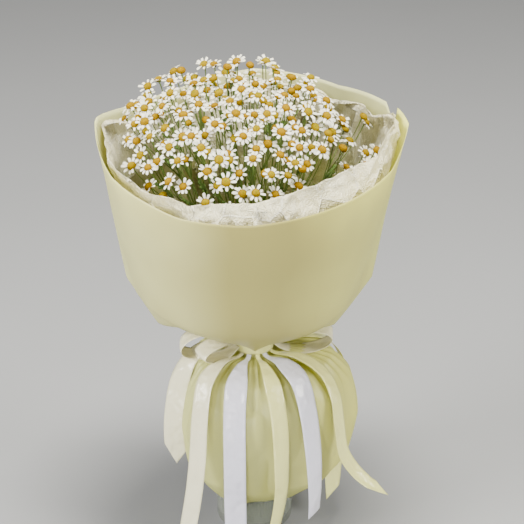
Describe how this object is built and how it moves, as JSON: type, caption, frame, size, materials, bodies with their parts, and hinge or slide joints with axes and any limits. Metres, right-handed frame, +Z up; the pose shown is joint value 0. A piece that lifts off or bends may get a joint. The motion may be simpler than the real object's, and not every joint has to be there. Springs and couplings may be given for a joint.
{
  "type": "wrapped bunch of daisies in a vase",
  "caption": "Round bunch of small daisies in cream film and white tissue, tied with a satin bow and standing in a clear glass vase of water.",
  "frame": {"origin": "centre of the vase's foot, on the surface it stands on", "axes": "+Z up along the vase, -Y towards the front, from where the bunch is looked at"},
  "size_m": [0.3264, 0.2898, 0.561],
  "materials": {
    "glass": "clear, polished",
    "water": "clear water",
    "twine": "twisted fibre",
    "plant": "white petals on yellow discs, dark green stems and leaves",
    "tissue": "white fibre tissue, crinkled, lets light through",
    "film": "matte translucent cream film",
    "satin_cream": "cream satin",
    "satin_white": "white satin, bare of print"
  },
  "bodies": {
    "root": {"vase": "glass", "water": "water", "twine": "twine", "spray_01": "plant", "spray_02": "plant", "spray_03": "plant", "spray_04": "plant", "spray_05": "plant", "spray_06": "plant", "spray_07": "plant", "spray_08": "plant", "spray_09": "plant", "spray_10": "plant", "spray_11": "plant", "spray_12": "plant", "spray_13": "plant", "spray_14": "plant", "spray_15": "plant", "spray_16": "plant", "spray_17": "plant", "spray_18": "plant", "spray_19": "plant", "spray_20": "plant", "spray_21": "plant", "spray_22": "plant", "spray_23": "plant", "spray_24": "plant", "spray_25": "plant", "spray_26": "plant", "spray_27": "plant", "spray_28": "plant", "spray_29": "plant", "tissue": "tissue", "film_back": "film", "film_front": "film", "film_skirt": "film", "bow": "satin_cream", "tail_cream_left": "satin_cream", "tail_cream_front_left": "satin_cream", "tail_white_left": "satin_white", "tail_cream_middle": "satin_cream", "tail_white_right": "satin_white", "tail_cream_right": "satin_cream", "tail_cream_back": "satin_cream"}
  },
  "joints": []
}
